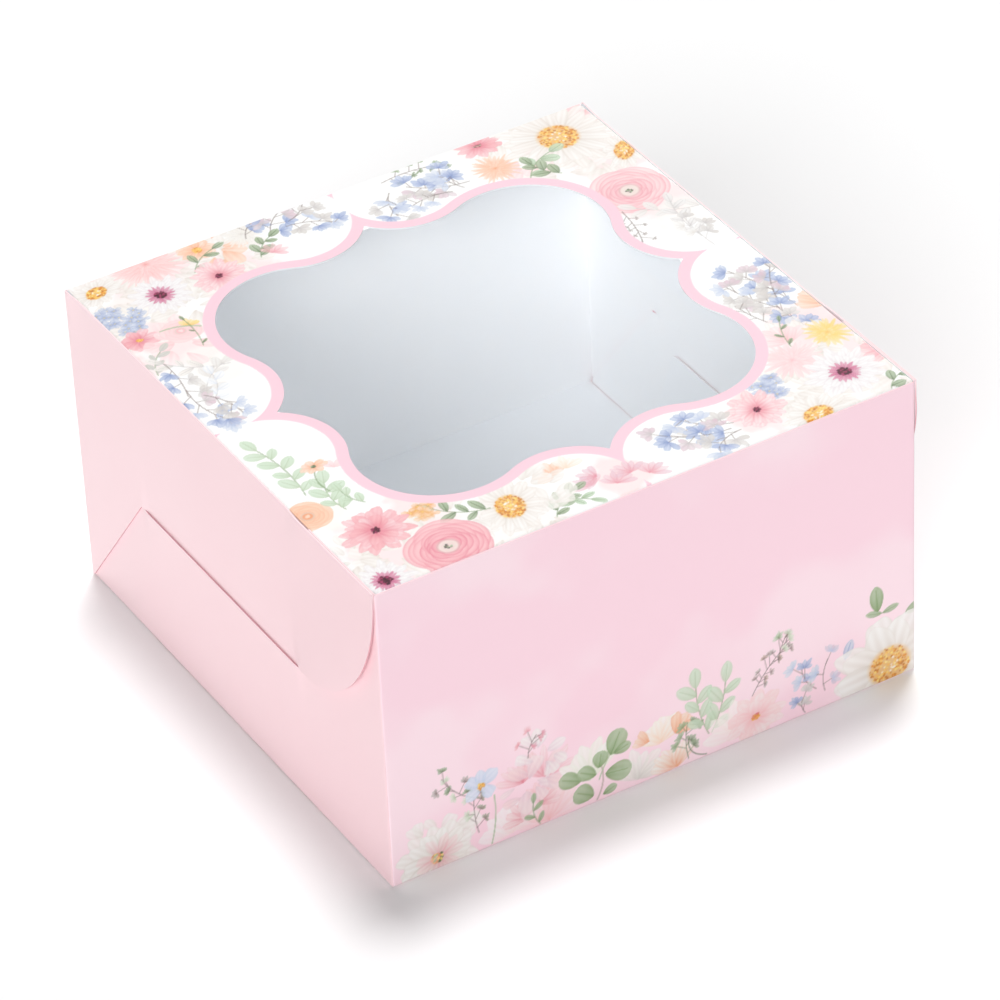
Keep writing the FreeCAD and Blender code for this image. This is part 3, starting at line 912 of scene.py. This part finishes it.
def make_walls():
    """The painted front wall and the plain back wall."""
    for name, body, node, outer, half, top in (
        ("printed_front_wall", "front", "front_wall", -1, SIDE - PITCH, HEIGHT - BOARD),
        ("plain_back_wall", "back", "back_wall", 1, SIDE, HEIGHT),
    ):
        painted = outer < 0
        if painted:
            xs = steps(SIDE - half, SIDE + half, FINE)
            ys = fine_then_coarse(0, FLOWER_TOP, top)
            paper = painted_wall(xs, ys)
        else:
            xs = edged(SIDE - half, SIDE + half, COARSE, True, True)
            ys = edged(0, top, COARSE, True, True)
            paper = None

        def place(x, z, depth, outer=outer, half=half, painted=painted):
            x = x - SIDE
            shift_x, drop_x = fold(half - np.abs(x))
            shift_z, drop_z = fold(z)
            shift_top, drop_top = (0, 0) if painted else fold(HEIGHT - z)
            drop = np.maximum(np.maximum(drop_x, drop_z), drop_top)
            out = outer * (BACK - drop - depth)
            return np.stack([x - shift_x * np.sign(x), out, z + shift_z - shift_top], 1)

        make_board(
            name, body, [node], (xs, ys), coarse_grid(xs, ys), everywhere, place,
            print_ink if painted else plain_pink, plain_pink, paper, not painted,
        )


# ---- materials

MIX_FIRST, MIX_SECOND, MIX_RESULT = 6, 7, 2  # the Mix node's colour sockets

# Gloss, strength of the board's tooth, then the least and the most roughness
PRINTED = (0.35, 0.15, 0.42, 0.52)
BARE = (0.3, 0.3, 0.6, 0.7)
CUT = (0.2, 0.3, 0.6, 0.7)
BOTH = (0.3, 0.3, 0.5, 0.6)


def new_material(name, roughness=0.5, **sockets):
    """A material, a helper that adds linked nodes to it, and one that feeds its shader."""
    material = bpy.data.materials.new(name)
    material.use_nodes = True
    shader = material.node_tree.nodes["Principled BSDF"]
    shader.inputs["Roughness"].default_value = roughness
    for socket, value in sockets.items():
        shader.inputs[socket.replace("_", " ")].default_value = value

    def add(kind, inputs=(), **settings):
        node = material.node_tree.nodes.new(kind)
        for key, value in settings.items():
            setattr(node, key, value)
        for key, value in dict(inputs).items():
            if isinstance(value, bpy.types.NodeSocket):
                material.node_tree.links.new(value, node.inputs[key])
            else:
                node.inputs[key].default_value = value
        return node

    def feed(socket, output):
        material.node_tree.links.new(output, shader.inputs[socket])

    return material, add, feed


def own_place(add):
    """A point's place in the object's own space."""
    return add("ShaderNodeTexCoord").outputs["Object"]


def noise(add, size, detail=3.0):
    """Noise in the object's own space, with blotches about size millimetres across."""
    inputs = {"Vector": own_place(add), "Scale": 1 / (size * MM), "Detail": detail}
    return add("ShaderNodeTexNoise", inputs).outputs["Fac"]


def colour_mix(add, amount, first, second, whiteness=BOARD_WHITE):
    """Two screen colours mixed by a value, where white sends back this share of the light."""
    mix = add("ShaderNodeMix", {"Factor": amount}, data_type="RGBA")
    for socket, value in ((mix.inputs[MIX_FIRST], first), (mix.inputs[MIX_SECOND], second)):
        if isinstance(value, bpy.types.NodeSocket):
            mix.id_data.links.new(value, socket)
        else:
            socket.default_value = (*linear(value) * whiteness, 1)
    return mix.outputs[MIX_RESULT]


def board_look(name, surface, colour):
    """Board with a slight tooth, a sheen that isn't quite even, and the colour that colour(add) gives."""
    gloss, tooth, least, most = surface
    material, add, feed = new_material(name, Specular_IOR_Level=gloss)
    feed("Base Color", colour(add))
    bumps = {"Strength": tooth, "Distance": 0.05 * MM, "Height": noise(add, 0.5)}
    feed("Normal", add("ShaderNodeBump", bumps).outputs["Normal"])
    sheen = add("ShaderNodeMapRange", {"Value": noise(add, 12), "To Min": least, "To Max": most})
    feed("Roughness", sheen.outputs["Result"])
    return material


def painted(add):
    """The flowers printed on a face."""
    return add("ShaderNodeAttribute", attribute_name="print").outputs["Color"]


def pink_wash(add):
    """The pale pink ground: faint watercolour blotches, and painted light that makes it a little lighter
    towards the back.
    """
    along = add("ShaderNodeSeparateXYZ", {"Vector": own_place(add)}).outputs["Y"]
    # painted light: from 0 at the front to 1 at the back, towards the paler pink
    run = add("ShaderNodeMapRange", {"Value": along, "From Min": FRONT * MM, "From Max": BACK * MM})
    spread = add("ShaderNodeMapRange", {"Value": noise(add, 38, 4), "To Min": -0.3, "To Max": 0.3})
    amount = add("ShaderNodeMath", {0: run.outputs["Result"], 1: spread.outputs["Result"]}, use_clamp=True)
    return colour_mix(add, amount.outputs[0], SIDE_PINK, SIDE_PINK_LIT)


def bare_white(add):
    """The board's unprinted side, and the lid's cut edges."""
    return colour_mix(add, noise(add, 6), INSIDE_WHITE, rgb(255, 255, 255), INSIDE_WHITENESS)


def edge_shade_colour(add):
    """The side flaps' cut edge: a deeper pink as painted shade where the flaps meet, but not along the top.
    """
    up = add("ShaderNodeSeparateXYZ", {"Vector": own_place(add)}).outputs["Z"]
    low, high = (HEIGHT - 6) * MM, (HEIGHT - 1) * MM
    top = add("ShaderNodeMapRange", {"Value": up, "From Min": low, "From Max": high}).outputs["Result"]
    return colour_mix(add, top, EDGE_SHADE_PINK, SIDE_PINK_LIT)


def make_two_sided(name, outward, plane):
    """Pink on the face that lies plane millimetres out along outward, white on the rest."""

    def colour(add):
        just_inside = (plane - 0.1 * BOARD) * MM
        along = add("ShaderNodeVectorMath", {0: own_place(add), 1: outward}, operation="DOT_PRODUCT")
        outside = add("ShaderNodeMath", {0: along.outputs["Value"], 1: just_inside}, operation="GREATER_THAN")
        return colour_mix(add, outside.outputs[0], INSIDE_WHITE, pink_wash(add), INSIDE_WHITENESS)

    return board_look(name, BOTH, colour)


def make_film(name):
    """Clear film: see-through, with a faint haze, painted glare in faint blotches, and a soft gloss."""
    material, add, feed = new_material(name, Alpha=0.08, IOR=1.5)
    # the haze is a little brighter in blotches: painted glare
    haze_and_glare = colour_mix(add, noise(add, 40), rgb(250, 252, 255), rgb(253, 254, 255), INSIDE_WHITENESS)
    feed("Base Color", haze_and_glare)
    sheen = add("ShaderNodeMapRange", {"Value": noise(add, 25), "To Min": 0.06, "To Max": 0.16})
    feed("Roughness", sheen.outputs["Result"])
    return material


def make_glue(name):
    """Dried clear glue."""
    material, add, feed = new_material(name, Alpha=0.3)
    feed("Base Color", colour_mix(add, noise(add, 2), rgb(238, 238, 234), rgb(246, 246, 242)))
    return material


def dress(node, material):
    """Give a CAD node its material."""
    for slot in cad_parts[node].material_slots:
        slot.material = material


print_ink = board_look("print_ink", PRINTED, painted)
plain_pink = board_look("plain_pink", PRINTED, pink_wash)
white_board = board_look("white_board", BARE, bare_white)
# the side flaps' cut rims, in a deeper pink that is painted shade
pink_edge_shade = board_look("pink_edge_shade", CUT, edge_shade_colour)

make_lid()
make_walls()
make_sides()

# The parts that keep their CAD shape. The tuck's lower edge leans back from the front wall.
TUCK_LEAN = math.radians(7)
tuck_outward = Vector((0, -math.cos(TUCK_LEAN), -math.sin(TUCK_LEAN)))
tuck_face = tuck_outward.dot(Vector((0, LID_FRONT + BOARD, HEIGHT - PITCH))) + BOARD
dress("tuck_flap", make_two_sided("board_tuck", tuck_outward, tuck_face))
dress("bottom_panel", make_two_sided("board_bottom", (0, 0, -1), 0))
for sign, label in ((1, "right"), (-1, "left")):
    for flap in ("base_flap", "dust_flap"):
        dress(f"{flap}_{label}", make_two_sided(f"board_{flap}_{label}", (sign, 0, 0), LID_SIDE))
dress("window_film", make_film("clear_film"))
dress("film_glue", make_glue("clear_glue"))


# ---- studio

FLOOR_SIZE = 40  # metres, so its edge is far off
FLOOR_DROP = 0.2 * MM  # below the carton
SURROUND = 0.17  # strength of the light from all round
BOUNCES = 40  # light goes round the white inside many times
CAMERA_PLACE = (-0.6761, -1.1942, 1.0479)  # metres
CAMERA_ANGLES = (-29.6153, 36.1887, -2.8603)  # degrees: azimuth, elevation and roll
LENS = 209.44  # millimetres
SENSOR = 36  # its width, in millimetres


def soft_light(name, at, spread, strength):
    """Even light from one side, as from a far soft box that looks this many degrees wide."""
    data = bpy.data.lights.new(name, "SUN")
    data.angle = math.radians(spread)
    data.energy = strength
    lamp = bpy.data.objects.new(name, data)
    lamp.location = at
    aim = Vector((0, 0, HEIGHT * MM / 2)) - Vector(at)
    lamp.rotation_mode = "QUATERNION"
    lamp.rotation_quaternion = aim.to_track_quat("-Z", "Y")
    bpy.context.scene.collection.objects.link(lamp)


def make_studio():
    """A wide white floor, an even white surround, and soft lights overhead, front left and back right."""
    bpy.ops.mesh.primitive_plane_add(size=FLOOR_SIZE, location=(0, 0, -FLOOR_DROP))
    floor = bpy.context.object
    floor.name = "floor"
    material, add, feed = new_material("floor_white", 0.8)
    white = colour_mix(add, noise(add, 300), rgb(255, 255, 255), rgb(254, 254, 254), FLOOR_WHITENESS)
    feed("Base Color", white)
    floor.data.materials.append(material)
    world = bpy.data.worlds.new("surround")
    world.use_nodes = True
    background = world.node_tree.nodes["Background"]
    background.inputs["Color"].default_value = (1, 1, 1, 1)
    background.inputs["Strength"].default_value = SURROUND
    bpy.context.scene.world = world
    soft_light("overhead_behind", (0.2, 0.28, 1.5), spread=13, strength=2.0)
    soft_light("front_fill", (-1.05, -1.05, 0.8), spread=27, strength=1.98)
    soft_light("back_fill", (1.15, 1.15, 0.42), spread=27, strength=1.25)
    bpy.context.scene.view_settings.view_transform = "Standard"
    bpy.context.scene.cycles.max_bounces = BOUNCES
    bpy.context.scene.cycles.diffuse_bounces = BOUNCES


def make_camera():
    """A long lens that looks down on the front left corner, turned a little in its own plane."""
    azimuth, elevation, roll = map(math.radians, CAMERA_ANGLES)
    level = math.cos(elevation)
    back = Vector((math.sin(azimuth) * level, -math.cos(azimuth) * level, math.sin(elevation)))
    right = (-back).cross(Vector((0, 0, 1))).normalized()
    up = back.cross(right)
    turned_right = right * math.cos(roll) + up * math.sin(roll)
    turned_up = up * math.cos(roll) - right * math.sin(roll)
    data = bpy.data.cameras.new("camera")
    data.lens = LENS
    data.sensor_width = SENSOR
    camera = bpy.data.objects.new("camera", data)
    turn = Matrix((turned_right, turned_up, back)).transposed().to_4x4()
    camera.matrix_world = Matrix.Translation(CAMERA_PLACE) @ turn
    bpy.context.scene.collection.objects.link(camera)
    bpy.context.scene.camera = camera


make_studio()
make_camera()
